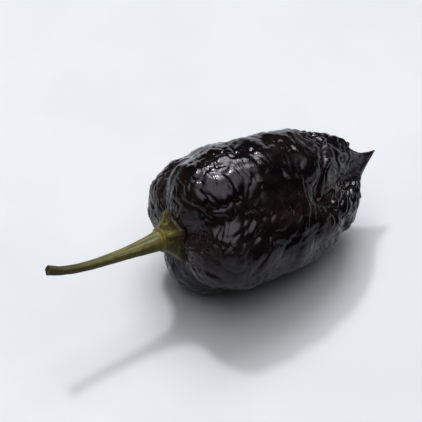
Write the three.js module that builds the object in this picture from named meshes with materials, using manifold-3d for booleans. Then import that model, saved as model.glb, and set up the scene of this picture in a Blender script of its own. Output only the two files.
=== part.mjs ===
// A ripe black habanero chilli as picked, lying on its side: a ribbed pod with a pointed tail, a star-shaped calyx on
// its shoulder and a curved stalk. Units are millimetres, +Z is up, and the origin is under the middle of the chilli,
// on the surface that it rests on.
// The pod is worked out along its own axis: x runs from the calyx seat to the tail, and an angle round the pod is 0 at
// the top and 90 degrees towards +Y.
import * as THREE from "three";
import Module from "manifold-3d";
import { mergeVertices } from "three/addons/utils/BufferGeometryUtils.js";

const wasm = await Module();
wasm.setup();

// Driving dimensions
const POD_LENGTH = 46; // calyx seat to the root of the tail
const POD_RADIUS = 17.2; // over the ribs
const CALYX_RADIUS = 5.2; // between its points
const CALYX_HEIGHT = 3.4;
const NECK_RADIUS = 2.4; // where the stalk leaves the calyx
const STALK_LENGTH = 28.3;
const TOUCHING_GAP = 0.3; // left between pieces that touch

// How it lies: the tail end is lower than the shoulder, and the rib underneath is pressed flat where it rests
const PITCH = THREE.MathUtils.degToRad(7);
const SEAT = new THREE.Vector3(-9.6, 0.6, 18.7);

// The pod's outline from seat to tail tip, as shares of its length and radius: over a rib, then in a groove
const OUTLINE = [
  [-0.022, 0.0, -0.018, 0.0],
  [-0.024, 0.19, -0.014, 0.19],
  [-0.028, 0.36, -0.004, 0.35],
  [-0.024, 0.545, 0.014, 0.5],
  [0.0, 0.735, 0.045, 0.65],
  [0.058, 0.9, 0.1, 0.785],
  [0.15, 0.99, 0.18, 0.87],
  [0.285, 1.01, 0.315, 0.9],
  [0.45, 0.99, 0.455, 0.875],
  [0.61, 0.94, 0.59, 0.8],
  [0.745, 0.855, 0.7, 0.655],
  [0.85, 0.69, 0.8, 0.48],
  [0.925, 0.48, 0.885, 0.335],
  [0.975, 0.285, 0.955, 0.22],
  [1.03, 0.135, 1.02, 0.125],
  [1.13, 0.0, 1.13, 0.0],
];

// Ribs lie between neighbouring grooves, and no two are alike
const GROOVES = [-48, 50, 141, 226].map(THREE.MathUtils.degToRad);
const RIB_SWELL = [1.0, 0.97, 1.01, 1.03];
const RIB_REACH = [1.02, 0.98, 0.98, 1.0];
const RIB_LEAN = [1.25, 1.0, 0.92, 0.9]; // above 1 the crest of the rib is past its middle
const GROOVE_WANDER = 0.1; // radians either way
const SHARP_GROOVE = 0.62; // a rib's section at the shoulder and tail: plump, with narrow grooves
const SOFT_GROOVE = 1.0; // and at the middle of the pod
const PLEAT_DEPTH = 1.3; // down each rib, towards the tail
const PLEAT_PLACE = [0.54, 0.45, 0.57, 0.49]; // as a share of the rib's width
const FOLD_DEPTH = 0.8; // across each rib, where it turns in to the tail
const FOLD_PLACE = [0.77, 0.73, 0.75, 0.79]; // as a share of the pod's length
const POD_ROWS = 60;
const RIB_COLUMNS = 16;

const smooth = THREE.MathUtils.smoothstep;
const mix = THREE.MathUtils.lerp;
const bump = (value, middle, width) => Math.exp(-(((value - middle) / width) ** 2));
const ribLine = new THREE.SplineCurve(OUTLINE.map(([x, r]) => new THREE.Vector2(x, r)));
const grooveLine = new THREE.SplineCurve(OUTLINE.map(([, , x, r]) => new THREE.Vector2(x, r)));

// Broad dents and swellings of the pod's wall
function dents(x, angle) {
  const long = 0.16 * Math.sin(x / 2.3 + 2 * angle + 0.7);
  const middling = 0.14 * Math.sin(x / 1.6 - 3 * angle + 2.1);
  const short = 0.12 * Math.sin(x / 1.25 + 5 * angle + 4.0);
  return long + middling + short;
}

// The tail curls up and a little aside from the pod's straight axis
function tailCurl(share) {
  const body = Math.max(0, share - 0.3);
  const tail = Math.max(0, share - 0.85);
  return { y: 14 * tail ** 2, z: body ** 2 + 34 * tail ** 2 };
}

// The point of the pod's wall at a share u of the way from seat to tip, and a share q of the way across one rib
function podPoint(u, rib, q) {
  const body = smooth(u, 0.18, 0.4) * (1 - smooth(u, 0.86, 0.97));
  const wander = (k) => GROOVE_WANDER * body * Math.sin(7 * u + 1.9 * k);
  const next = (rib + 1) % GROOVES.length;
  const from = GROOVES[rib] + wander(rib);
  const to = GROOVES[next] + wander(next) + (next === 0 ? 2 * Math.PI : 0);
  const angle = mix(from, to, q);
  const crown = Math.sin(Math.PI * q ** RIB_LEAN[rib]) ** mix(SHARP_GROOVE, SOFT_GROOVE, body);
  const onRib = ribLine.getPoint(u);
  const inGroove = grooveLine.getPoint(u);
  const swell = mix(1, RIB_SWELL[rib], smooth(u, 0.15, 0.4));
  const reach = mix(1, RIB_REACH[rib], smooth(u, 0.5, 0.75) * (1 - smooth(u, 0.9, 1)));
  const share = mix(inGroove.x, onRib.x * reach, crown);
  const x = POD_LENGTH * share;
  const tailHalf = smooth(share, 0.4, 0.8) * (1 - smooth(share, 0.84, 0.96));
  const pleat = PLEAT_DEPTH * tailHalf * bump(q, PLEAT_PLACE[rib], 0.13);
  const fold = FOLD_DEPTH * bump(share, mix(0.63, FOLD_PLACE[rib], crown), 0.024);
  const r = POD_RADIUS * mix(inGroove.y, onRib.y * swell, crown) + body * (dents(x, angle) - fold) - pleat;
  const curl = tailCurl(share);
  return new THREE.Vector3(x, r * Math.sin(angle) + curl.y, r * Math.cos(angle) + curl.z);
}

function podRows() {
  const rows = [[podPoint(0, 0, 0)]];
  for (let i = 1; i < POD_ROWS; i++) {
    const row = [];
    for (let rib = 0; rib < GROOVES.length; rib++)
      for (let j = 0; j < RIB_COLUMNS; j++) row.push(podPoint(i / POD_ROWS, rib, j / RIB_COLUMNS));
    rows.push(row);
  }
  rows.push([podPoint(1, 0, 0)]);
  return rows;
}

// A closed skin over rows of points, each a ring that turns the same way round, or one point at either end
function skin(rows) {
  const positions = [];
  const starts = rows.map((row) => {
    const start = positions.length / 3;
    row.forEach((p) => positions.push(p.x, p.y, p.z));
    return start;
  });
  const index = [];
  const triangle = (a, b, c) => a !== b && b !== c && c !== a && index.push(a, b, c);
  for (let i = 0; i + 1 < rows.length; i++) {
    const columns = Math.max(rows[i].length, rows[i + 1].length);
    const corner = (row, j) => starts[row] + (j % rows[row].length);
    for (let j = 0; j < columns; j++) {
      triangle(corner(i, j), corner(i + 1, j), corner(i + 1, j + 1));
      triangle(corner(i, j), corner(i + 1, j + 1), corner(i, j + 1));
    }
  }
  return new THREE.BufferGeometry()
    .setAttribute("position", new THREE.Float32BufferAttribute(positions, 3))
    .setIndex(index);
}

function toManifold(geometry) {
  const plain = geometry.clone();
  plain.deleteAttribute("normal");
  plain.deleteAttribute("uv");
  const merged = mergeVertices(plain);
  return new wasm.Manifold(
    new wasm.Mesh({
      numProp: 3,
      vertProperties: new Float32Array(merged.attributes.position.array),
      triVerts: new Uint32Array(merged.index.array),
    }),
  );
}

function fromManifold(solid) {
  const { vertProperties, triVerts } = solid.getMesh();
  return new THREE.BufferGeometry()
    .setAttribute("position", new THREE.BufferAttribute(new Float32Array(vertProperties), 3))
    .setIndex(new THREE.BufferAttribute(new Uint32Array(triVerts), 1));
}

// The pod, cut flat where it rests on the surface
function podGeometry(lying) {
  const size = 4 * POD_LENGTH;
  const floor = new THREE.BoxGeometry(size, size, size)
    .translate(0, 0, -size / 2)
    .applyMatrix4(lying.matrix.clone().invert());
  return fromManifold(toManifold(skin(podRows())).subtract(toManifold(floor)));
}

// Calyx
const CALYX_POINTS = 5;
const CALYX_POINT_REACH = 1.1;
const CALYX_TURN = THREE.MathUtils.degToRad(34); // the angle of one of its points
const CALYX_EDGE = 0.65; // its thickness at the rim
const CALYX_COLUMNS = 60;
const CALYX_FLARE = 1.9; // the power that gives its trumpet shape
const SEAT_X = OUTLINE[0][0] * POD_LENGTH;
const CALYX_TOP = SEAT_X - TOUCHING_GAP - CALYX_HEIGHT;

// How far along x the pod's wall is, at a radius close to the seat
function wallOnRib(radius, rib, q) {
  let near = 0;
  let far = 0.28;
  for (let step = 0; step < 24; step++) {
    const middle = (near + far) / 2;
    const p = podPoint(middle, rib, q);
    if (Math.hypot(p.y, p.z) < radius) near = middle;
    else far = middle;
  }
  return podPoint(near, rib, q).x;
}

// The calyx sinks only part of the way into the grooves
function wallUnderCalyx(radius, angle) {
  const turn = 2 * Math.PI;
  const past = THREE.MathUtils.euclideanModulo(angle - GROOVES[0], turn);
  const starts = GROOVES.map((groove) => groove - GROOVES[0]);
  const rib = starts.findLastIndex((start) => start <= past);
  const end = rib + 1 < starts.length ? starts[rib + 1] : turn;
  const q = (past - starts[rib]) / (end - starts[rib]);
  const onCrest = wallOnRib(radius, 1, 0.5);
  return mix(onCrest, wallOnRib(radius, rib, q), 0.6);
}

function calyxGeometry() {
  const pointiness = (angle) => Math.cos((CALYX_POINTS * (angle - CALYX_TURN)) / 2) ** 4;
  const reach = (angle) => CALYX_POINT_REACH * (1 + 0.35 * Math.sin(angle + 4.2)) * pointiness(angle);
  // Round near the stalk, with the points towards the rim
  const outline = (angle, share) =>
    CALYX_RADIUS + smooth(share, 0.2, 1) * (reach(angle) + 0.35 * Math.sin(2 * angle));
  const at = (x, r, angle) => new THREE.Vector3(x, r * Math.sin(angle), r * Math.cos(angle));
  const ring = (place) => Array.from({ length: CALYX_COLUMNS }, (_, j) => place((2 * Math.PI * j) / CALYX_COLUMNS));
  const rows = [[at(CALYX_TOP, 0, 0)]];
  for (const share of [0, 0.1, 0.22, 0.36, 0.52, 0.7, 0.87, 1])
    rows.push(
      ring((angle) => {
        const r = mix(NECK_RADIUS, outline(angle, share), share);
        const low = wallUnderCalyx(r, angle) - TOUCHING_GAP - CALYX_EDGE;
        const vein = 0.2 * pointiness(angle) * Math.sin(Math.PI * share);
        return at(mix(low, CALYX_TOP, (1 - share) ** CALYX_FLARE) - vein, r, angle);
      }),
    );
  for (const share of [1, 0.7, 0.4])
    rows.push(
      ring((angle) => {
        const r = share * outline(angle, 1);
        return at(wallUnderCalyx(r, angle) - TOUCHING_GAP, r, angle);
      }),
    );
  rows.push([at(SEAT_X - TOUCHING_GAP, 0, 0)]);
  return skin(rows);
}

// Stalk: its middle line from the calyx to the cut end, and its radius along it as shares of the neck's
const STALK_LINE = [
  [0, 0, 0],
  [-0.24, 0.001, -0.017],
  [-0.48, 0.004, -0.022],
  [-0.7, 0.01, -0.014],
  [-0.88, 0.021, 0.016],
  [-0.99, 0.034, 0.056],
].map((shares) => new THREE.Vector3(...shares).multiplyScalar(STALK_LENGTH));
const STALK_RADII = [1.0, 0.79, 0.635, 0.53, 0.47, 0.435, 0.415, 0.41, 0.41, 0.44, 0.465];
const STALK_ROWS = 34;
const STALK_COLUMNS = 20;
const STALK_FURROWS = 5;
const STALK_FURROW_DEPTH = 0.05; // as a share of its radius

function stalkGeometry() {
  const start = new THREE.Vector3(CALYX_TOP - TOUCHING_GAP, 0, 0);
  const line = new THREE.CatmullRomCurve3(STALK_LINE.map((p) => p.clone().add(start)));
  const radii = new THREE.SplineCurve(STALK_RADII.map((share, i) => new THREE.Vector2(i, share * NECK_RADIUS)));
  const frames = line.computeFrenetFrames(STALK_ROWS);
  const rows = [[line.getPointAt(0)]];
  for (let i = 0; i <= STALK_ROWS; i++) {
    const row = [];
    for (let j = 0; j < STALK_COLUMNS; j++) {
      const angle = (-2 * Math.PI * j) / STALK_COLUMNS;
      const r = radii.getPoint(i / STALK_ROWS).y * (1 + STALK_FURROW_DEPTH * Math.cos(STALK_FURROWS * angle));
      const across = frames.normals[i].clone().multiplyScalar(r * Math.cos(angle));
      const up = frames.binormals[i].clone().multiplyScalar(r * Math.sin(angle));
      row.push(line.getPointAt(i / STALK_ROWS).add(across).add(up));
    }
    rows.push(row);
  }
  rows.push([line.getPointAt(1)]);
  return skin(rows);
}

// Assembly
const lying = new THREE.Group();
lying.position.copy(SEAT);
lying.rotation.y = PITCH;
lying.updateMatrix();

function piece(name, geometry, color, roughness) {
  geometry.computeVertexNormals();
  const mesh = new THREE.Mesh(geometry, new THREE.MeshStandardMaterial({ color, roughness, metalness: 0 }));
  mesh.name = name;
  lying.add(mesh);
}

piece("pod", podGeometry(lying), 0x1a1213, 0.25);
piece("calyx", calyxGeometry(), 0x5e5524, 0.6);
piece("stem", stalkGeometry(), 0x625c2a, 0.6);

const chilli = new THREE.Group();
chilli.add(lying);

export default chilli;
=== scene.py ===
import math

import bpy
import numpy as np
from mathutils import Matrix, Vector, noise


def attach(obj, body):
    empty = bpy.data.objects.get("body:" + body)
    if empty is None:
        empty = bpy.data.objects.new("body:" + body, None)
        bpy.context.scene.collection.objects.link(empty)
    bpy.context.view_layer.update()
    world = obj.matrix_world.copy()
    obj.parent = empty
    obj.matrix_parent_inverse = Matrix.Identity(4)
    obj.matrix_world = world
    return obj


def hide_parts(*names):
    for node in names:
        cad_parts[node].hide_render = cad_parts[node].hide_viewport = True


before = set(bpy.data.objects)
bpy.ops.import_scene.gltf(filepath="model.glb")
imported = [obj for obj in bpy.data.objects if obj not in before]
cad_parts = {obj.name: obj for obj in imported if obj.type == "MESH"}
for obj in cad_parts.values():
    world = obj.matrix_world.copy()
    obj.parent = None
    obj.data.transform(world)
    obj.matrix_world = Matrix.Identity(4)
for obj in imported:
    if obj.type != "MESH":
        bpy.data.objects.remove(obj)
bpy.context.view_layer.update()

bl_info = {
    "name": "Black habanero chilli",
    "version": (1, 0, 0),
    "blender": (4, 5, 0),
    "location": "3D View > Sidebar > Chilli",
    "description": "Builds the pod, calyx and stalk of a ripe black habanero lying on a pale floor",
    "category": "Add Mesh",
}

MM = 0.001

# How it lies: pitched so that the tail end is lower, with the calyx seat here
PITCH = math.radians(7)
SEAT = np.array((-9.6, 0.6, 18.7)) * MM

# The pod's outline from seat to tail tip, as shares of its length and radius:
# over a rib, then in a groove
OUTLINE = np.array([
    (-0.022, 0.0, -0.018, 0.0),
    (-0.024, 0.19, -0.014, 0.19),
    (-0.028, 0.36, -0.004, 0.35),
    (-0.024, 0.545, 0.014, 0.5),
    (0.0, 0.735, 0.045, 0.65),
    (0.058, 0.9, 0.1, 0.785),
    (0.15, 0.99, 0.18, 0.87),
    (0.285, 1.01, 0.315, 0.9),
    (0.45, 0.99, 0.455, 0.875),
    (0.61, 0.94, 0.59, 0.8),
    (0.745, 0.855, 0.7, 0.655),
    (0.85, 0.69, 0.8, 0.48),
    (0.925, 0.48, 0.885, 0.335),
    (0.975, 0.285, 0.955, 0.22),
    (1.03, 0.135, 1.02, 0.125),
    (1.13, 0.0, 1.13, 0.0),
])

# Ribs lie between neighbouring grooves, and no two are alike
GROOVES = np.radians((-48, 50, 141, 226))
RIB_SWELL = np.array((1.0, 0.97, 1.01, 1.03))
RIB_REACH = np.array((1.02, 0.98, 0.98, 1.0))
RIB_LEAN = np.array((1.25, 1.0, 0.92, 0.9))
GROOVE_WANDER = 0.1  # how far to each side of its angle a groove wanders, in radians
WANDER_PACE = 7
WANDER_SHIFT = 1.9  # how far out of step the next groove is
SHARP_GROOVE = 0.62  # the power by which its sides rise near the seat and the tail
SOFT_GROOVE = 1.0  # and on the body
GROOVE_FLOOR = 0.13  # how wide its rounded bottom is, from 0 for a cut to 1 for a hollow
PLEAT_DEPTH = 1.3 * MM
PLEAT_WIDTH = 0.13
PLEAT_PLACE = np.array((0.54, 0.45, 0.57, 0.49))
FOLD_DEPTH = 0.8 * MM
FOLD_WIDTH = 0.024
FOLD_PLACE = np.array((0.77, 0.73, 0.75, 0.79))  # where it crosses each rib
FOLD_IN_GROOVE = 0.63

# Stretches of the way from seat to tip: where each sets in, and where it fades out
BODY = ((0.18, 0.4), (0.86, 0.97))
RIB_ENDS = ((0.5, 0.75), (0.9, 1))
PLEATED = ((0.4, 0.8), (0.84, 0.96))
SWELL_SETS_IN = (0.15, 0.4)

# Past these shares of its length the pod's middle line bends up, and its tail up and aside
BEND_FROM = 0.3
BEND_UP = 1 * MM
TAIL_FROM = 0.85
TAIL_UP = 34 * MM
TAIL_ASIDE = 14 * MM

# Broad dents of the pod's wall, as waves: depth in mm, mm down the pod to a radian, how many go
# round it, and shift
DENTS = ((0.16, 2.3, 2, 0.7), (0.14, 1.6, -3, 2.1), (0.12, 1.25, 5, 4.0))

POD_ROWS = 290
RIB_COLUMNS = 78
OUTLINE_STEPS = 2000

# Wrinkles are laid out on a drum, so that they keep their spacing where the pod narrows
WRINKLE_DRUM = 15 * MM
WRINKLE_SWAY = 1.3 * MM
WRINKLE_START = (1 * MM, 8 * MM)  # how far from the axis they set in, and are at full height
WRINKLE_LEVEL = 0.3
BROAD_LUMPS = 0.65
SHOULDER_ENDS = (0.1, 0.4)  # as shares of the pod's length
TAIL_SETS_IN = (0.6, 0.78)
LEAST_BUSY = 0.4  # how strong the finer wrinkles are outside the busy patches
PATCHES_BUSIER = 0.4
PATCH_EDGES = (-0.3, 0.3)
CREASE_WIDTH = 0.16  # as a share of the height of the noise that they are made from
CREASE_FALL = 1.5
SEED_STEP = 7.31

CALYX_POINTS = 5
CALYX_TURN = math.radians(34)  # the angle of one of its points
POINT_SHARPNESS = 4
UNEVEN_POINTS = 0.35  # how much longer or shorter than their mean the points are, as a share
UNEVEN_SHIFT = 4.2
RIM_OVAL = 0.35 * MM
RIM_RAGS = 0.3 * MM
RIM_THINS_BY = 0.75
CALYX_COLUMNS = 300
CALYX_ROWS = 60
CALYX_CROWDING = 1.25  # above 1 its rows lie closer together near the stalk
CALYX_UNDERSIDE = np.linspace(1, 0.3, 14)  # its rows, as shares of the way out to the rim
CALYX_FLARE = 1.9
CALYX_SINK = 0.15 * MM  # how far its rim presses into the skin
CALYX_CLING = 0.6  # how far it follows the grooves, from 0 for over them to 1 for into them
SEARCHED = 0.28  # the share of the pod's outline in which the wall under it lies
HALVINGS = 24
RIM_THINS_OVER = (0.85, 1)  # this and the next three as shares of the way out to the rim
SEPALS_START = (0.08, 0.35)
COLLAR_PLACE = (0.05, 0.035)
COLLAR_GROOVE_PLACE = (0.15, 0.05)
COLLAR = 0.3 * MM  # how far the ring where the stalk leaves the calyx stands out
COLLAR_GROOVE = 0.5  # the depth of the groove round it, as a share of that
VEIN_HEIGHT = 0.34 * MM
SEPAL_FOLDS = 0.15 * MM
SEPAL_LUMPS = 0.28 * MM
SHADED_SIDE = math.radians(-105)  # the side of the calyx turned away from the window, where its rim is painted browner as shade
# How much browner the rim is painted on that side, as shade
SIDE_SHADE = 0.16

# The stalk's middle line and radius from the calyx to the cut end, as shares of its length and
# of the neck's radius
STALK_LINE = np.array([
    (0, 0, 0),
    (-0.24, 0.001, -0.017),
    (-0.48, 0.004, -0.022),
    (-0.7, 0.01, -0.014),
    (-0.88, 0.021, 0.016),
    (-0.99, 0.034, 0.056),
])
STALK_RADII = np.array((1.0, 0.79, 0.635, 0.53, 0.47, 0.435, 0.415, 0.41, 0.41, 0.44, 0.465))
STALK_ROWS = 220
STALK_COLUMNS = 72
STALK_INSIDE = 0.8 * MM  # how far inside the calyx its line starts
FOOT_BACK = 0.5 * MM  # how far its foot is drawn back from there
STALK_TWIST = 0.5
STALK_KNOBS = 0.05
FURROWS = ((0.06, 5, 0), (0.025, 11, 2))  # depth as a share of the radius, how many, and shift
CUT_RINGS = ((0.86, -0.05), (0.6, 0.12), (0.3, 0.2))  # size as a share, and how far sunk in mm
CUT_SINK = 0.22 * MM

# How rough each finish is, from 0 for a mirror to 1 for chalk, and what wax and leaf reflect
WAX_ROUGHNESS = (0.04, 0.13)
DULL_PATCHES = 0.24
DRY_TAIL = 0.12
DRY_SHOULDER = 0.14
WAX_IOR = 1.34
WAX_TINT = (0.95, 0.89, 1.0, 1.0)
CALYX_ROUGHNESS = (0.36, 0.55)
STALK_ROUGHNESS = (0.4, 0.6)
GREEN_IOR = 1.3
BOARD_ROUGHNESS = (0.6, 0.7)
BOARD_SHADE = 0.985

# The window and the glow beside it: turn from the window, size beside the window's, and share of
# the power
WINDOW_LIGHTS = (
    ("window", 0.0, 1, 0.42),
    ("window_glow", math.radians(-26), 5, 0.58),
)
# How far the room's light spreads from its brightest place: the cosines of the angles at which it
# sets in and is full
ROOM_SPREAD = (0.68, 1.0)
SENSOR_WIDTH = 36.0
CLIP_START = 0.05


# Shapes

def smooth(value, low, high):
    """0 below low, 1 above high, and an even S between them."""
    share = np.clip((value - low) / (high - low), 0, 1)
    return share * share * (3 - 2 * share)


def within(value, rise, fall):
    """0 before the rise, 1 from its end to the start of the fall, and 0 after the fall."""
    return smooth(value, *rise) * (1 - smooth(value, *fall))


def mix(a, b, share):
    return a + (b - a) * share


def bump(value, middle, width):
    return np.exp(-(((value - middle) / width) ** 2))


def spline(points, share):
    """A smooth line through evenly timed points, at shares from 0 to 1."""
    last = len(points) - 1
    place = last * np.clip(share, 0, 1)
    i = np.floor(place).astype(int)
    t = (place - i)[..., None]
    before = points[np.maximum(i - 1, 0)]
    here = points[i]
    after = points[np.minimum(i + 1, last)]
    beyond = points[np.minimum(i + 2, last)]
    leaving = (after - before) / 2
    arriving = (beyond - here) / 2
    return (
        (2 * here - 2 * after + leaving + arriving) * t**3
        + (3 * after - 3 * here - 2 * leaving - arriving) * t**2
        + leaving * t
        + here
    )


def stretched_noise(points, sizes, seed):
    """Smooth noise from about -1 to 1, whose lumps have these sizes along x, y and z."""
    scaled = (points.reshape(-1, 3) / np.array(sizes) + seed * SEED_STEP).tolist()
    return np.array([noise.noise(p) for p in scaled]).reshape(points.shape[:-1])


def creased_noise(points, sizes, seed):
    """Flat pillows at 0 with narrow creases between them, which go down to -1."""
    away = np.abs(stretched_noise(points, sizes, seed)) / CREASE_WIDTH
    return -np.exp(-(away**CREASE_FALL))


def on_drum(x, angle, radius):
    """Points round the chilli's own axis."""
    return np.stack(np.broadcast_arrays(x, radius * np.sin(angle), radius * np.cos(angle)), -1)


def dents(x, angle):
    """Broad dents and swellings of the pod's wall."""
    return MM * sum(
        depth * np.sin(x / MM / length + count * angle + shift)
        for depth, length, count, shift in DENTS
    )


def groove_angle(groove, u, body):
    """The angle of a groove, which wanders a little on its way down the body."""
    wander = GROOVE_WANDER * body * np.sin(WANDER_PACE * u + WANDER_SHIFT * groove)
    return GROOVES[groove] + wander


def pod_wall(pod, u, rib, q):
    """The pod's wall along its own axis, at a share u from seat to tip and a share q across a rib.
    Gives points, and for each its angle, its height up the rib and its share of the length."""
    body = within(u, *BODY)
    following = (rib + 1) % len(GROOVES)
    start = groove_angle(rib, u, body)
    end = groove_angle(following, u, body) + np.where(following == 0, 2 * math.pi, 0)
    angle = mix(start, end, q)
    power = mix(SHARP_GROOVE, SOFT_GROOVE, body)
    rise = np.sin(math.pi * q ** RIB_LEAN[rib]) ** 2 + GROOVE_FLOOR**2
    lowest = GROOVE_FLOOR**power
    crown = (rise ** (power / 2) - lowest) / ((1 + GROOVE_FLOOR**2) ** (power / 2) - lowest)
    on_rib = spline(OUTLINE[:, :2], u)
    in_groove = spline(OUTLINE[:, 2:], u)
    swell = mix(1, RIB_SWELL[rib], smooth(u, *SWELL_SETS_IN))
    reach = mix(1, RIB_REACH[rib], within(u, *RIB_ENDS))
    share = mix(in_groove[..., 0], on_rib[..., 0] * reach, crown)
    pleat = PLEAT_DEPTH * within(share, *PLEATED) * bump(q, PLEAT_PLACE[rib], PLEAT_WIDTH)
    fold_place = mix(FOLD_IN_GROOVE, FOLD_PLACE[rib], crown)
    fold = FOLD_DEPTH * bump(share, fold_place, FOLD_WIDTH)
    x = pod.length * share
    r = pod.radius * mix(in_groove[..., 1], on_rib[..., 1] * swell, crown)
    r = r + body * (dents(x, angle) - fold) - pleat
    bend = np.maximum(0, share - BEND_FROM) ** 2
    tail_bend = np.maximum(0, share - TAIL_FROM) ** 2
    y = r * np.sin(angle) + TAIL_ASIDE * tail_bend
    z = r * np.cos(angle) + BEND_UP * bend + TAIL_UP * tail_bend
    return np.stack([x, y, z], -1), angle, crown, share


def even_rows(pod, count):
    """Shares of the way from seat to tip that are evenly spaced over the wall of a rib."""
    fine = np.linspace(0, 1, OUTLINE_STEPS)
    line = spline(OUTLINE[:, :2], fine) * (pod.length, pod.radius)
    steps = np.hypot(*np.diff(line, axis=0).T)
    walked = np.concatenate([[0], np.cumsum(steps)])
    return np.interp(np.linspace(0, walked[-1], count + 1), walked, fine)


# Layers of the skin's wrinkles: how they are made, their size down the pod and round it in mm,
# their seed, and their strength everywhere, on busy skin and on the tail half
WRINKLES = (
    (creased_noise, 14, 3.4, 11, 0.3, 0, 0),  # long creases down the pod
    (creased_noise, 2.8, 5, 15, 0, 0.35, 0),  # short creases round it
    (creased_noise, 2.4, 3, 14, 0, 0.3, 0),  # pillows
    (creased_noise, 9, 1.7, 53, 0.12, -0.084, 0),  # fine lines, which give way on busy skin
    (creased_noise, 2.2, 2.8, 29, 0, 0, 0.6),  # crumpled skin
    (stretched_noise, 1.5, 1.8, 47, 0, 0.18, 0.3),  # knobs
)


def wrinkles(walked, angle, share):
    """The skin's wrinkles, from about -1.5 in the deepest creases to 0.8 on the highest knobs:
    broad lumps, and the layers over them."""
    drum = on_drum(walked, angle, WRINKLE_DRUM)
    sway = WRINKLE_SWAY * stretched_noise(drum, (4.5 * MM,) * 3, seed=2)
    swayed = drum + sway[..., None]
    busy_patches = smooth(stretched_noise(drum, (7 * MM,) * 3, seed=5), *PATCH_EDGES)
    shoulder = 1 - smooth(share, *SHOULDER_ENDS)
    busy = np.clip(LEAST_BUSY + PATCHES_BUSIER * busy_patches + shoulder, 0, 1)
    tail = smooth(share, *TAIL_SETS_IN)
    relief = WRINKLE_LEVEL + BROAD_LUMPS * stretched_noise(drum, (5 * MM,) * 3, seed=8)
    for make, down, around, seed, everywhere, on_busy, on_tail in WRINKLES:
        layer = make(swayed, (down * MM, around * MM, around * MM), seed)
        relief = relief + (everywhere + on_busy * busy + on_tail * tail) * layer
    return relief


def walked_down(points):
    """The way along the wall from the seat, down each column of a grid of points."""
    steps = np.linalg.norm(np.diff(points, axis=0), axis=-1)
    first = np.hypot(points[:1, :, 1], points[:1, :, 2])
    return np.cumsum(np.concatenate([first, steps]), axis=0)


def wall_normals(points):
    """Outward directions over a grid of points whose columns go all the way round."""
    down = np.gradient(points, axis=0)
    wrapped = np.concatenate([points[:, -1:], points, points[:, :1]], 1)
    across = (wrapped[:, 2:] - wrapped[:, :-2]) / 2
    normal = np.cross(down, across)
    return normal / np.maximum(np.linalg.norm(normal, axis=-1, keepdims=True), 1e-12)


def lie_down(points):
    """From the chilli's own axis to the frame, as it lies on the surface."""
    x, y, z = np.moveaxis(points, -1, 0)
    forward = x * math.cos(PITCH) + z * math.sin(PITCH)
    up = z * math.cos(PITCH) - x * math.sin(PITCH)
    return np.stack([forward, y, up], -1) + SEAT


def skin_mesh(name, rows, values):
    """A closed skin over rows of points, each a ring or a single end point, with named values at
    the points."""
    starts = np.cumsum([0] + [len(row) for row in rows]).tolist()
    faces = []
    for i in range(len(rows) - 1):
        upper, lower = len(rows[i]), len(rows[i + 1])
        for j in range(max(upper, lower)):
            corners = (
                starts[i] + j % upper,
                starts[i + 1] + j % lower,
                starts[i + 1] + (j + 1) % lower,
                starts[i] + (j + 1) % upper,
            )
            faces.append(list(dict.fromkeys(corners)))
    mesh = bpy.data.meshes.new(name)
    mesh.from_pydata(np.concatenate(rows).tolist(), [], faces)
    mesh.shade_smooth()
    for label, numbers in values.items():
        attribute = mesh.attributes.new(label, "FLOAT", "POINT")
        attribute.data.foreach_set("value", np.concatenate(numbers).astype(np.float32))
    piece = bpy.data.objects.new(name, mesh)
    bpy.context.scene.collection.objects.link(piece)
    return piece


def closed(first, grid, last):
    """Rows for skin_mesh: a grid with a single point or value before and after it."""
    return [np.array([first]), *grid, np.array([last])]


def dress(piece, node, material):
    """Puts a piece in the frame in place of its solid."""
    piece.data.materials.append(material)
    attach(piece, "root")
    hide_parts(node)


# The pod

def pod_columns():
    """Which rib each column of the pod is on, and its share of the way across it."""
    rib = np.repeat(np.arange(len(GROOVES)), RIB_COLUMNS)
    return rib, np.tile(np.arange(RIB_COLUMNS) / RIB_COLUMNS, len(GROOVES))


def build_pod(pod):
    rib, q = pod_columns()
    u = even_rows(pod, POD_ROWS)[1:-1, None]
    points, angle, crown, share = pod_wall(pod, u, rib[None], q[None])
    from_axis = np.hypot(points[..., 1], points[..., 2])
    height = pod.wrinkle_height * smooth(from_axis, *WRINKLE_START)
    height = height * wrinkles(walked_down(points), angle, share)
    lying = lie_down(points + wall_normals(points) * height[..., None])
    # It rests on the surface, which flattens a small spot
    lying[..., 2] = np.maximum(lying[..., 2], 0)
    seat, tip = (
        lie_down(pod_wall(pod, np.array(end), np.array(0), np.array(0.0))[0])
        for end in (0.0, 1.0)
    )
    values = {"groove": closed(0, 1 - crown, 0), "along": closed(0, share, share.max())}
    return skin_mesh("pod_skin", closed(seat, lying, tip), values)


# The calyx

def wall_under(pod, radius, angle):
    """How far along x the pod's wall is, at a radius and angle close to the seat."""
    past = (angle - GROOVES[0]) % (2 * math.pi)
    starts = GROOVES - GROOVES[0]
    rib = np.searchsorted(starts, past, side="right") - 1
    widths = np.diff(np.append(starts, 2 * math.pi))
    q = (past - starts[rib]) / widths[rib]

    def wall_at(rib, q):
        near = np.zeros_like(radius)
        far = np.full_like(radius, SEARCHED)
        for _ in range(HALVINGS):
            middle = (near + far) / 2
            wall = pod_wall(pod, middle, rib, q)[0]
            inside = np.hypot(wall[..., 1], wall[..., 2]) < radius
            near = np.where(inside, middle, near)
            far = np.where(inside, far, middle)
        return pod_wall(pod, near, rib, q)[0][..., 0]

    on_crest = wall_at(np.ones_like(rib), np.full_like(q, 0.5))
    return mix(on_crest, wall_at(rib, q), CALYX_CLING)


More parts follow.
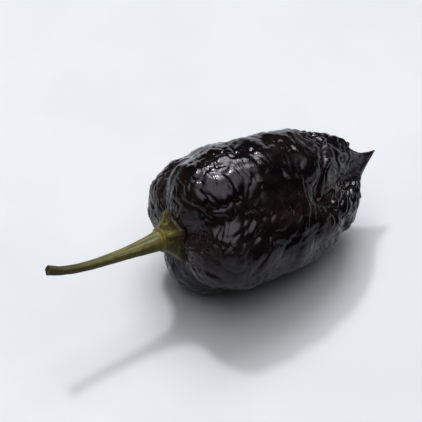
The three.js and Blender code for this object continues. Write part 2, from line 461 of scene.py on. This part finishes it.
def build_calyx(pod, calyx, stalk):
    angle = np.arange(CALYX_COLUMNS) * 2 * math.pi / CALYX_COLUMNS
    pointiness = np.cos(CALYX_POINTS * (angle - CALYX_TURN) / 2) ** POINT_SHARPNESS
    reach = calyx.point_reach * (1 + UNEVEN_POINTS * np.sin(angle + UNEVEN_SHIFT)) * pointiness
    ragged = stretched_noise(on_drum(0, angle, 1), (0.35,) * 3, seed=31)
    uneven = reach + RIM_OVAL * np.sin(2 * angle) + RIM_RAGS * ragged
    seat = OUTLINE[0, 0] * pod.length
    top = seat - calyx.height

    # The upper side, from the stalk out to the rim
    share = np.linspace(0, 1, CALYX_ROWS)[:, None] ** CALYX_CROWDING
    r = mix(stalk.neck_radius, calyx.radius + smooth(share, 0.2, 1) * uneven, share)
    angles = np.broadcast_to(angle, r.shape)
    thickness = calyx.thickness * (1 - RIM_THINS_BY * smooth(share, *RIM_THINS_OVER))
    vein = VEIN_HEIGHT * pointiness**2 * np.sin(math.pi * share) ** 0.7
    drum = on_drum(share * calyx.radius, angles, 1.4 * calyx.radius)
    folds = SEPAL_FOLDS * stretched_noise(drum, (3 * MM, 0.8 * MM, 0.8 * MM), seed=37)
    lumps = SEPAL_LUMPS * stretched_noise(drum, (2.4 * MM,) * 3, seed=43)
    relief = vein + smooth(share, *SEPALS_START) * (folds + lumps)
    surface = mix(wall_under(pod, r, angles) - thickness, top, (1 - share) ** CALYX_FLARE)
    ring = (1 + 0.5 * ragged) * bump(share, *COLLAR_PLACE)
    groove = COLLAR_GROOVE * bump(share, *COLLAR_GROOVE_PLACE)
    upper = on_drum(surface - relief, angles, r + COLLAR * (ring - groove))

    # The underside, from the rim back in
    under_share = CALYX_UNDERSIDE[:, None]
    under_r = under_share * (calyx.radius + uneven)
    under_angles = np.broadcast_to(angle, under_r.shape)
    under = on_drum(wall_under(pod, under_r, under_angles) + CALYX_SINK, under_angles, under_r)

    grid = lie_down(np.concatenate([upper, under]))
    towards_rim = np.concatenate(
        [np.broadcast_to(share, r.shape), np.broadcast_to(under_share, under_r.shape)]
    )
    veins = np.broadcast_to(pointiness**2, towards_rim.shape)
    # Browning towards the rim, which is real drying, and more on the side turned away from the
    # window, which is painted shade
    dried_and_shaded = towards_rim + SIDE_SHADE * np.cos(angle - SHADED_SIDE)
    ends = [lie_down(np.array((x, 0.0, 0.0))) for x in (top, seat)]
    values = {
        "towards_rim": closed(0, towards_rim, 0),
        "vein": closed(0, veins, 0),
        "dried_and_shaded": closed(0, dried_and_shaded, 0),
    }
    return skin_mesh("calyx_star", closed(ends[0], grid, ends[1]), values)


# The stalk

def build_stalk(pod, calyx, stalk):
    down = np.linspace(0, 1, STALK_ROWS)
    line = spline(STALK_LINE, down) * stalk.length
    line[:, 0] += OUTLINE[0, 0] * pod.length - calyx.height + STALK_INSIDE
    line[:, 0] -= FOOT_BACK * (1 - smooth(down, 0, 0.2))
    way = np.gradient(line, axis=0)
    way /= np.linalg.norm(way, axis=1, keepdims=True)
    side = np.cross(way, (0, 0, 1))
    side /= np.linalg.norm(side, axis=1, keepdims=True)
    over = np.cross(side, way)

    turn = np.arange(STALK_COLUMNS) * 2 * math.pi / STALK_COLUMNS
    twist = turn[None] + STALK_TWIST * down[:, None]
    furrow = sum(depth * np.cos(count * twist + shift) for depth, count, shift in FURROWS)
    furrow = furrow * smooth(down, 0, 0.12)[:, None]
    drum = on_drum(down[:, None] * stalk.length, twist, 1.2 * MM)
    knobs = STALK_KNOBS * stretched_noise(drum, (2.2 * MM, 1.1 * MM, 1.1 * MM), seed=41)
    girth = spline(STALK_RADII[:, None], down)[:, :1] * stalk.neck_radius
    r = girth * (1 + furrow + knobs)
    outward = np.cos(turn)[:, None] * side[:, None] + np.sin(turn)[:, None] * over[:, None]
    grid = list(line[:, None] + r[..., None] * outward)

    # The cut end, a little sunk in its middle
    rim, middle = grid[-1], line[-1]
    for shrink, sink in CUT_RINGS:
        grid.append(middle + (rim - middle) * shrink - way[-1] * sink * MM)
    rings = len(CUT_RINGS)
    deepest = sum(depth for depth, _, _ in FURROWS)
    ridge = list(furrow / deepest) + [np.zeros(STALK_COLUMNS)] * rings
    cut = [np.zeros(STALK_COLUMNS)] * STALK_ROWS + [np.ones(STALK_COLUMNS)] * rings
    far = [np.full(STALK_COLUMNS, value) for value in down] + [np.ones(STALK_COLUMNS)] * rings
    rows = closed(line[0], grid, middle - way[-1] * CUT_SINK)
    values = {"down": closed(0, far, 1), "ridge": closed(0, ridge, 0), "cut": closed(0, cut, 1)}
    return skin_mesh("stalk", [lie_down(row) for row in rows], values)


# Materials

def add_node(tree, kind, inputs=None, **settings):
    """A node with its settings, and its inputs either linked to a socket or set to a value."""
    made = tree.nodes.new(kind)
    for name, value in settings.items():
        setattr(made, name, value)
    for name, value in (inputs or {}).items():
        if isinstance(value, bpy.types.NodeSocket):
            tree.links.new(value, made.inputs[name])
        else:
            made.inputs[name].default_value = value
    return made


def maths(tree, operation, first, second=0.0):
    return add_node(tree, "ShaderNodeMath", {0: first, 1: second}, operation=operation).outputs[0]


def ramp(tree, value, span, result=(0.0, 1.0)):
    """Eases from the first result to the second as the value crosses the span."""
    inputs = {
        "Value": value, "From Min": span[0], "From Max": span[1],
        "To Min": result[0], "To Max": result[1],
    }
    made = add_node(tree, "ShaderNodeMapRange", inputs, interpolation_type="SMOOTHSTEP")
    return made.outputs["Result"]


def rgba(colour):
    return (*colour, 1.0)


def blend_colours(tree, share, first, second):
    """The colour between two, each a socket or three numbers; 6, 7 and 2 are the mix node's
    colour sockets."""
    first, second = (
        colour if isinstance(colour, bpy.types.NodeSocket) else rgba(colour)
        for colour in (first, second)
    )
    inputs = {0: share, 6: first, 7: second}
    return add_node(tree, "ShaderNodeMix", inputs, data_type="RGBA").outputs[2]


def measured(tree, label):
    """A value that was kept at the mesh's points."""
    return add_node(tree, "ShaderNodeAttribute", attribute_name=label).outputs["Fac"]


def effect(tree, name, fill, values, result):
    """A shader node group with one result, placed with its own values. It is made and filled the
    first time that it is asked for."""
    group = bpy.data.node_groups.get(name)
    if group is None:
        group = bpy.data.node_groups.new(name, "ShaderNodeTree")
        sockets = group.interface
        for label, value in values.items():
            number = isinstance(value, (int, float))
            kind = "NodeSocketFloat" if number else "NodeSocketVector"
            sockets.new_socket(name=label, in_out="INPUT", socket_type=kind)
        sockets.new_socket(name=result, in_out="OUTPUT", socket_type="NodeSocketFloat")
        given = group.nodes.new("NodeGroupInput").outputs
        filled = fill(group, given)
        group.links.new(filled, group.nodes.new("NodeGroupOutput").inputs[result])
    return add_node(tree, "ShaderNodeGroup", values, node_tree=group).outputs[result]


def fill_patches(tree, given):
    cloud = add_node(tree, "ShaderNodeTexNoise", {
        "Vector": given["Vector"], "Scale": given["Scale"], "Detail": 5.0, "Roughness": 0.62})
    return ramp(tree, cloud.outputs["Fac"], (given["Low"], given["High"]))


def patches(tree, place, scale, low, high):
    """A mask of soft uneven patches; the higher low and high are, the fewer there are."""
    values = {"Vector": place, "Scale": scale, "Low": low, "High": high}
    return effect(tree, "Patches", fill_patches, values, "Mask")


def fill_fine_creases(tree, given):
    stretched = add_node(
        tree, "ShaderNodeVectorMath", {0: given["Vector"], 1: given["Stretch"]},
        operation="MULTIPLY")
    cloud = add_node(tree, "ShaderNodeTexNoise", {
        "Vector": stretched.outputs[0], "Scale": given["Scale"], "Detail": 3.0,
        "Roughness": 0.55})
    pillow = maths(tree, "ABSOLUTE", maths(tree, "SUBTRACT", cloud.outputs["Fac"], 0.5))
    return maths(tree, "POWER", maths(tree, "MULTIPLY", pillow, 3.0), 0.7)


def fine_creases(tree, place, scale, stretch):
    """Height of tiny pillows with creases between them, longer along an axis whose stretch is
    below 1."""
    values = {"Vector": place, "Stretch": stretch, "Scale": scale}
    return effect(tree, "Fine creases", fill_fine_creases, values, "Height")


def start_material(name):
    """A new material with its node tree and shader, and where a point is on the chilli."""
    material = bpy.data.materials.new(name)
    material.use_nodes = True
    tree = material.node_tree
    shader = tree.nodes["Principled BSDF"]
    place = add_node(tree, "ShaderNodeTexCoord").outputs["Object"]
    return material, tree, shader, place


def finish_surface(tree, shader, colour, roughness):
    tree.links.new(colour, shader.inputs["Base Color"])
    tree.links.new(roughness, shader.inputs["Roughness"])


def raise_surface(tree, shader, height, distance, strength=1.0):
    inputs = {"Height": height, "Distance": distance, "Strength": strength}
    raised = add_node(tree, "ShaderNodeBump", inputs).outputs["Normal"]
    tree.links.new(raised, shader.inputs["Normal"])


def black_skin(pod):
    material, tree, shader, place = start_material("black_skin")
    along = measured(tree, "along")
    flushed = patches(tree, place, scale=85.0, low=0.42, high=0.66)
    colour = blend_colours(tree, flushed, pod.skin_color, pod.flush_color)
    near_calyx = ramp(tree, along, (0.0, 0.09), (0.7, 0.0))
    colour = blend_colours(tree, near_calyx, colour, pod.shoulder_color)
    freckled = patches(tree, place, scale=430.0, low=0.46, high=0.66)
    freckles = blend_colours(tree, freckled, pod.flush_color, pod.groove_color)
    in_groove = ramp(tree, measured(tree, "groove"), (0.55, 0.95), (0.0, 0.9))
    colour = blend_colours(tree, in_groove, colour, freckles)

    waxy = patches(tree, place, scale=160.0, low=0.45, high=0.7)
    gloss = ramp(tree, waxy, (0.0, 1.0), WAX_ROUGHNESS)
    dull = patches(tree, place, scale=92.0, low=0.48, high=0.6)
    gloss = maths(tree, "ADD", gloss, maths(tree, "MULTIPLY", dull, DULL_PATCHES))
    dry_tail = ramp(tree, along, (0.7, 0.85), (0.0, DRY_TAIL))
    dry_shoulder = ramp(tree, along, (-0.02, 0.12), (DRY_SHOULDER, 0.0))
    dryness = maths(tree, "ADD", dry_tail, dry_shoulder)
    finish_surface(tree, shader, colour, maths(tree, "ADD", gloss, dryness))

    creases = fine_creases(tree, place, scale=800.0, stretch=(1.6, 0.8, 0.8))
    raise_surface(tree, shader, creases, distance=0.09 * MM, strength=0.3)
    shader.inputs["IOR"].default_value = WAX_IOR
    shader.inputs["Specular Tint"].default_value = WAX_TINT
    return material


def calyx_green(calyx):
    material, tree, shader, place = start_material("calyx_green")
    blotched = patches(tree, place, scale=480.0, low=0.46, high=0.66)
    colour = blend_colours(tree, blotched, calyx.color, calyx.vein_and_highlight_color)
    vein = ramp(tree, measured(tree, "vein"), (0.3, 1.0), (0.0, 0.5))
    colour = blend_colours(tree, vein, colour, calyx.vein_and_highlight_color)
    # Paler yellow towards the stalk's foot: a painted highlight
    collar_highlight = ramp(tree, measured(tree, "towards_rim"), (0.02, 0.26), (0.8, 0.0))
    colour = blend_colours(tree, collar_highlight, colour, calyx.vein_and_highlight_color)
    uneven = maths(tree, "MULTIPLY", blotched, 0.14)
    dried_and_shaded = maths(tree, "ADD", measured(tree, "dried_and_shaded"), uneven)
    # Brown at the rim from drying, and on the side turned away from the window as painted shade
    browned_and_shaded = ramp(tree, dried_and_shaded, (0.78, 1.06), (0.0, 0.95))
    colour = blend_colours(tree, browned_and_shaded, colour, calyx.edge_and_shade_color)
    finish_surface(tree, shader, colour, ramp(tree, blotched, (0.0, 1.0), CALYX_ROUGHNESS))

    creases = fine_creases(tree, place, scale=1300.0, stretch=(0.6, 1.0, 1.0))
    raise_surface(tree, shader, creases, distance=0.07 * MM)
    shader.inputs["IOR"].default_value = GREEN_IOR
    return material


def stalk_green(stalk):
    material, tree, shader, place = start_material("stalk_green")
    streaked = patches(tree, place, scale=520.0, low=0.4, high=0.66)
    colour = blend_colours(tree, streaked, stalk.color, stalk.streak_color)
    uneven = maths(tree, "MULTIPLY", streaked, 0.2)
    ageing = maths(tree, "ADD", measured(tree, "down"), uneven)
    aged = ramp(tree, ageing, (0.3, 1.1), (0.0, 0.85))
    colour = blend_colours(tree, aged, colour, stalk.dry_and_shade_color)
    # Darker and browner in the furrows: painted shade
    shade_in_furrow = ramp(tree, measured(tree, "ridge"), (-1.0, 0.4), (0.5, 0.0))
    colour = blend_colours(tree, shade_in_furrow, colour, stalk.dry_and_shade_color)
    colour = blend_colours(tree, measured(tree, "cut"), colour, stalk.cut_color)
    finish_surface(tree, shader, colour, ramp(tree, streaked, (0.0, 1.0), STALK_ROUGHNESS))

    creases = fine_creases(tree, place, scale=1500.0, stretch=(0.22, 1.0, 1.0))
    raise_surface(tree, shader, creases, distance=0.05 * MM)
    shader.inputs["IOR"].default_value = GREEN_IOR
    return material


def pale_board(stage):
    material, tree, shader, place = start_material("pale_board")
    shaded = patches(tree, place, scale=14.0, low=0.3, high=0.7)
    darker = [channel * BOARD_SHADE for channel in stage.floor_color]
    colour = blend_colours(tree, shaded, stage.floor_color, darker)
    finish_surface(tree, shader, colour, ramp(tree, shaded, (0.0, 1.0), BOARD_ROUGHNESS))
    return material


# The stage

def direction(azimuth, elevation):
    """Towards a place seen at this azimuth and elevation; azimuth 0 is in front, on the -Y side."""
    flat = math.cos(elevation)
    return Vector((math.sin(azimuth) * flat, -math.cos(azimuth) * flat, math.sin(elevation)))


def add_light(name, size, power, colour, towards, distance):
    light = bpy.data.lights.new(name, "AREA")
    light.size = size
    light.energy = power
    light.color = colour
    lamp = bpy.data.objects.new(name, light)
    lamp.location = towards * distance
    lamp.rotation_euler = towards.to_track_quat("Z", "Y").to_euler()
    bpy.context.scene.collection.objects.link(lamp)


def add_camera(stage):
    """Looks at the middle of the solids, with a lens that lets them fill most of the width."""
    back = direction(stage.camera_azimuth, stage.camera_elevation)
    right = Vector((math.cos(stage.camera_azimuth), math.sin(stage.camera_azimuth), 0))
    up = back.cross(right)
    corners = [v.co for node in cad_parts.values() for v in node.data.vertices]
    across = [c.dot(right) for c in corners]
    upward = [c.dot(up) for c in corners]
    middle = right * (max(across) + min(across)) / 2 + up * (max(upward) + min(upward)) / 2
    lens = bpy.data.cameras.new("camera")
    lens.sensor_width = SENSOR_WIDTH
    frame_width = (max(across) - min(across)) / stage.filled
    lens.lens = lens.sensor_width * stage.camera_distance / frame_width
    lens.clip_start = CLIP_START
    camera = bpy.data.objects.new("camera", lens)
    camera.location = middle + back * stage.camera_distance
    camera.rotation_euler = back.to_track_quat("Z", "Y").to_euler()
    bpy.context.scene.collection.objects.link(camera)
    bpy.context.scene.camera = camera


def add_room(stage):
    """Soft light from overhead and almost none from the horizon, with a pale backdrop that throws
    no light."""
    world = bpy.data.worlds.new("room")
    world.use_nodes = True
    tree = world.node_tree
    tree.nodes.clear()
    place = add_node(tree, "ShaderNodeTexCoord").outputs["Generated"]
    brightest = direction(stage.room_azimuth, stage.room_elevation)
    nearness = add_node(
        tree, "ShaderNodeVectorMath", {0: place, 1: brightest}, operation="DOT_PRODUCT")
    light = (stage.horizon_light, stage.overhead_light)
    strength = ramp(tree, nearness.outputs["Value"], ROOM_SPREAD, light)
    seen = add_node(tree, "ShaderNodeLightPath").outputs["Is Camera Ray"]
    inputs = {0: seen, 2: strength, 3: stage.backdrop_light}
    shown = add_node(tree, "ShaderNodeMix", inputs).outputs[0]
    inputs = {"Color": rgba(stage.room_color), "Strength": shown}
    glow = add_node(tree, "ShaderNodeBackground", inputs)
    out = tree.nodes.new("ShaderNodeOutputWorld")
    tree.links.new(glow.outputs[0], out.inputs["Surface"])
    bpy.context.scene.world = world


def build_stage(stage):
    half = stage.floor_size / 2
    corners = [(-half, -half, 0), (half, -half, 0), (half, half, 0), (-half, half, 0)]
    mesh = bpy.data.meshes.new("floor")
    mesh.from_pydata(corners, [], [(0, 1, 2, 3)])
    mesh.materials.append(pale_board(stage))
    floor = bpy.data.objects.new("floor", mesh)
    bpy.context.scene.collection.objects.link(floor)
    for name, turned, wider, share in WINDOW_LIGHTS:
        towards = direction(stage.window_azimuth + turned, stage.window_elevation)
        size = stage.window_size * wider
        power = stage.window_power * share
        add_light(name, size, power, stage.window_color, towards, stage.window_distance)
    add_room(stage)
    add_camera(stage)
    bpy.context.scene.view_settings.view_transform = "Standard"


# Settings that a user would change

class ChilliPodSettings(bpy.types.PropertyGroup):
    length: bpy.props.FloatProperty(
        name="Length", description="From the calyx seat to the root of the tail",
        default=46 * MM, unit="LENGTH")
    radius: bpy.props.FloatProperty(
        name="Radius", description="Over the ribs", default=17.2 * MM, unit="LENGTH")
    wrinkle_height: bpy.props.FloatProperty(
        name="Wrinkle height", description="How deep the strong creases are",
        default=0.62 * MM, unit="LENGTH")
    skin_color: bpy.props.FloatVectorProperty(
        name="Skin", description="Colour of most of the skin",
        default=(0.0015, 0.0011, 0.0013), subtype="COLOR")
    flush_color: bpy.props.FloatVectorProperty(
        name="Flush", description="Red-brown that shows through in patches",
        default=(0.0052, 0.003, 0.0029), subtype="COLOR")
    groove_color: bpy.props.FloatVectorProperty(
        name="Grooves", description="Paler red-brown freckles in the grooves",
        default=(0.0145, 0.0088, 0.0072), subtype="COLOR")
    shoulder_color: bpy.props.FloatVectorProperty(
        name="Shoulder", description="Brown of the skin close to the calyx",
        default=(0.009, 0.0055, 0.0036), subtype="COLOR")


class ChilliCalyxSettings(bpy.types.PropertyGroup):
    radius: bpy.props.FloatProperty(
        name="Radius", description="Between its points", default=5.2 * MM, unit="LENGTH")
    height: bpy.props.FloatProperty(
        name="Height", description="From the seat to the stalk", default=3.7 * MM, unit="LENGTH")
    point_reach: bpy.props.FloatProperty(
        name="Point reach", description="How far its points stand out",
        default=1.1 * MM, unit="LENGTH")
    thickness: bpy.props.FloatProperty(
        name="Thickness", description="Of the rim", default=0.65 * MM, unit="LENGTH")
    color: bpy.props.FloatVectorProperty(
        name="Green", description="Colour of most of the calyx",
        default=(0.018, 0.0145, 0.001), subtype="COLOR")
    # The veins' and blotches' own yellow, which also paints a highlight where the stalk leaves the
    # calyx
    vein_and_highlight_color: bpy.props.FloatVectorProperty(
        name="Veins", description="Yellow of the collar, veins and blotches",
        default=(0.098, 0.077, 0.011), subtype="COLOR")
    # Brown of the dry rim, and of the painted shade on its side turned away from the window
    edge_and_shade_color: bpy.props.FloatVectorProperty(
        name="Edge", description="Brown of the dried rim",
        default=(0.011, 0.0062, 0.0025), subtype="COLOR")


class ChilliStalkSettings(bpy.types.PropertyGroup):
    length: bpy.props.FloatProperty(
        name="Length", description="From the calyx to the cut end",
        default=28.3 * MM, unit="LENGTH")
    neck_radius: bpy.props.FloatProperty(
        name="Neck radius", description="Where it leaves the calyx",
        default=2.4 * MM, unit="LENGTH")
    color: bpy.props.FloatVectorProperty(
        name="Green", description="Colour near the calyx",
        default=(0.052, 0.046, 0.006), subtype="COLOR")
    streak_color: bpy.props.FloatVectorProperty(
        name="Streaks", description="Colour of the paler patches",
        default=(0.115, 0.096, 0.02), subtype="COLOR")
    # Towards the cut end this is the stalk's own drier colour; in the furrows it is painted shade
    dry_and_shade_color: bpy.props.FloatVectorProperty(
        name="Dry", description="Colour in the furrows and towards the cut end",
        default=(0.022, 0.0195, 0.008), subtype="COLOR")
    cut_color: bpy.props.FloatVectorProperty(
        name="Cut", description="Colour of the cut end",
        default=(0.03, 0.02, 0.012), subtype="COLOR")


class ChilliStageSettings(bpy.types.PropertyGroup):
    floor_color: bpy.props.FloatVectorProperty(
        name="Floor", description="Colour of the floor",
        default=(0.37, 0.38, 0.393), subtype="COLOR")
    floor_size: bpy.props.FloatProperty(
        name="Floor size", description="Along each side", default=4.0, unit="LENGTH")
    window_power: bpy.props.FloatProperty(
        name="Window power", description="Of the window and the glow beside it",
        default=56.0, unit="POWER")
    window_color: bpy.props.FloatVectorProperty(
        name="Window", description="Colour of the window's light",
        default=(0.96, 0.985, 1.0), subtype="COLOR")
    window_size: bpy.props.FloatProperty(
        name="Window size", description="Along each side", default=0.2, unit="LENGTH")
    window_distance: bpy.props.FloatProperty(
        name="Window distance", description="From the chilli", default=2.0, unit="LENGTH")
    window_azimuth: bpy.props.FloatProperty(
        name="Window azimuth", description="Round from the front",
        default=math.radians(170), subtype="ANGLE")
    window_elevation: bpy.props.FloatProperty(
        name="Window elevation", description="Up from the floor",
        default=math.radians(59), subtype="ANGLE")
    room_color: bpy.props.FloatVectorProperty(
        name="Room", description="Colour of the room's light and of the backdrop",
        default=(0.98, 0.98, 1.0), subtype="COLOR")
    horizon_light: bpy.props.FloatProperty(
        name="Horizon light", description="Strength of the room's light at the horizon",
        default=0.03, min=0)
    overhead_light: bpy.props.FloatProperty(
        name="Overhead light", description="Strength of the room's light where it is brightest",
        default=3.1, min=0)
    backdrop_light: bpy.props.FloatProperty(
        name="Backdrop", description="Brightness of the backdrop that shows past the floor",
        default=0.74, min=0)
    room_azimuth: bpy.props.FloatProperty(
        name="Room azimuth", description="Round from the front to where the room is brightest",
        default=math.radians(-31), subtype="ANGLE")
    room_elevation: bpy.props.FloatProperty(
        name="Room elevation", description="Up from the floor to where the room is brightest",
        default=math.radians(87), subtype="ANGLE")
    camera_azimuth: bpy.props.FloatProperty(
        name="Camera azimuth", description="Round from the front",
        default=math.radians(-31), subtype="ANGLE")
    camera_elevation: bpy.props.FloatProperty(
        name="Camera elevation", description="Up from the floor",
        default=math.radians(48), subtype="ANGLE")
    camera_distance: bpy.props.FloatProperty(
        name="Camera distance", description="From the chilli", default=0.9, unit="LENGTH")
    filled: bpy.props.FloatProperty(
        name="Filled", description="Share of the frame's width that the chilli fills", default=0.78,
        subtype="FACTOR", min=0.1, max=1.0)


# Operators and the panel

class CHILLI_OT_pod(bpy.types.Operator):
    """Build the ribbed, wrinkled pod"""
    bl_idname = "chilli.pod"
    bl_label = "Pod"

    def execute(self, context):
        pod = context.scene.chilli_pod
        dress(build_pod(pod), "pod", black_skin(pod))
        return {"FINISHED"}


class CHILLI_OT_calyx(bpy.types.Operator):
    """Build the star-shaped calyx on the pod's shoulder"""
    bl_idname = "chilli.calyx"
    bl_label = "Calyx"

    def execute(self, context):
        scene = context.scene
        piece = build_calyx(scene.chilli_pod, scene.chilli_calyx, scene.chilli_stalk)
        dress(piece, "calyx", calyx_green(scene.chilli_calyx))
        return {"FINISHED"}


class CHILLI_OT_stalk(bpy.types.Operator):
    """Build the furrowed stalk with its cut end"""
    bl_idname = "chilli.stalk"
    bl_label = "Stalk"

    def execute(self, context):
        scene = context.scene
        piece = build_stalk(scene.chilli_pod, scene.chilli_calyx, scene.chilli_stalk)
        dress(piece, "stem", stalk_green(scene.chilli_stalk))
        return {"FINISHED"}


class CHILLI_OT_stage(bpy.types.Operator):
    """Lay the pale floor, and set the light and the camera"""
    bl_idname = "chilli.stage"
    bl_label = "Stage"

    def execute(self, context):
        build_stage(context.scene.chilli_stage)
        return {"FINISHED"}


class CHILLI_PT_panel(bpy.types.Panel):
    bl_label = "Black habanero chilli"
    bl_idname = "CHILLI_PT_panel"
    bl_space_type = "VIEW_3D"
    bl_region_type = "UI"
    bl_category = "Chilli"

    def draw(self, context):
        for operator, settings in PARTS.items():
            box = self.layout.box()
            box.operator(operator)
            group = getattr(context.scene, settings)
            for name in group.__annotations__:
                box.prop(group, name)


PARTS = {
    "chilli.pod": "chilli_pod",
    "chilli.calyx": "chilli_calyx",
    "chilli.stalk": "chilli_stalk",
    "chilli.stage": "chilli_stage",
}
SETTINGS = {
    "chilli_pod": ChilliPodSettings,
    "chilli_calyx": ChilliCalyxSettings,
    "chilli_stalk": ChilliStalkSettings,
    "chilli_stage": ChilliStageSettings,
}
CLASSES = (
    *SETTINGS.values(),
    CHILLI_OT_pod,
    CHILLI_OT_calyx,
    CHILLI_OT_stalk,
    CHILLI_OT_stage,
    CHILLI_PT_panel,
)


def register():
    for cls in CLASSES:
        bpy.utils.register_class(cls)
    for name, settings in SETTINGS.items():
        setattr(bpy.types.Scene, name, bpy.props.PointerProperty(type=settings))


def unregister():
    for name in SETTINGS:
        delattr(bpy.types.Scene, name)
    for cls in reversed(CLASSES):
        bpy.utils.unregister_class(cls)


def main():
    register()
    bpy.ops.chilli.pod()
    bpy.ops.chilli.calyx()
    bpy.ops.chilli.stalk()
    bpy.ops.chilli.stage()


if __name__ == "__main__":
    main()
